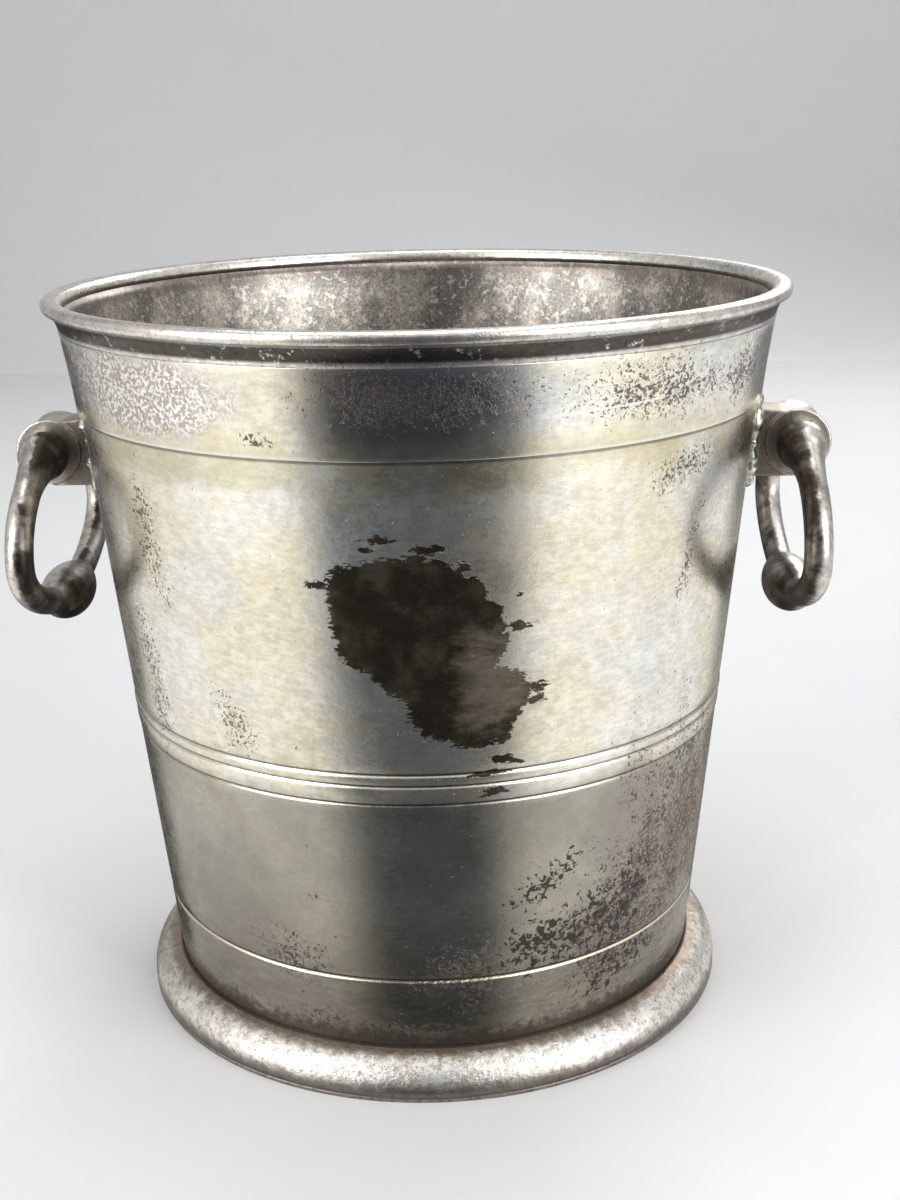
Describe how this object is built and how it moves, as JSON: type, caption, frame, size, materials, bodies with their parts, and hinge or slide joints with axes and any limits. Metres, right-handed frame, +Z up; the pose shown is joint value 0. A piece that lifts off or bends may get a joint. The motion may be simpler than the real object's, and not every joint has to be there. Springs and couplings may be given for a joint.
{
  "type": "ice bucket",
  "caption": "Tapered spun metal champagne and ice bucket with a collar, rolled rim, round foot and loose drop-ring side handles.",
  "frame": {"origin": "centre of the plane the bucket stands on", "axes": "+Z up along the bucket's axis, +X towards one of the two ring handles"},
  "size_m": [0.2298, 0.2046, 0.205],
  "materials": {
    "body_plate": "tarnished satin silver plate",
    "collar_plate": "mottled tarnished silver plate",
    "rim_plate": "worn silver plate",
    "foot_plate": "mottled silver plate",
    "base_wire": "worn silver plate",
    "lug_casting": "cast and plated, tarnished",
    "handle_casting": "cast and plated, dark patina",
    "pin_metal": "turned pin"
  },
  "bodies": {
    "bucket": {"body_shell": "body_plate", "collar_band": "collar_plate", "rim_moulding": "rim_plate", "foot_ring": "foot_plate", "foot_base_wire": "base_wire", "lug_left": "lug_casting", "lug_right": "lug_casting"},
    "right_handle": {"ring_handle_right": "handle_casting", "hinge_pin_right": "pin_metal"},
    "left_handle": {"ring_handle_left": "handle_casting", "hinge_pin_left": "pin_metal"}
  },
  "joints": [
    {"name": "right_handle_swing", "type": "hinge", "parent": "bucket", "child": "right_handle", "pos_m": [0.1056, 0, 0.1598], "axis": [0, -1, 0], "range_deg": [-11, 170]},
    {"name": "left_handle_swing", "type": "hinge", "parent": "bucket", "child": "left_handle", "pos_m": [-0.1056, 0, 0.1598], "axis": [0, 1, 0], "range_deg": [-11, 170]}
  ]
}
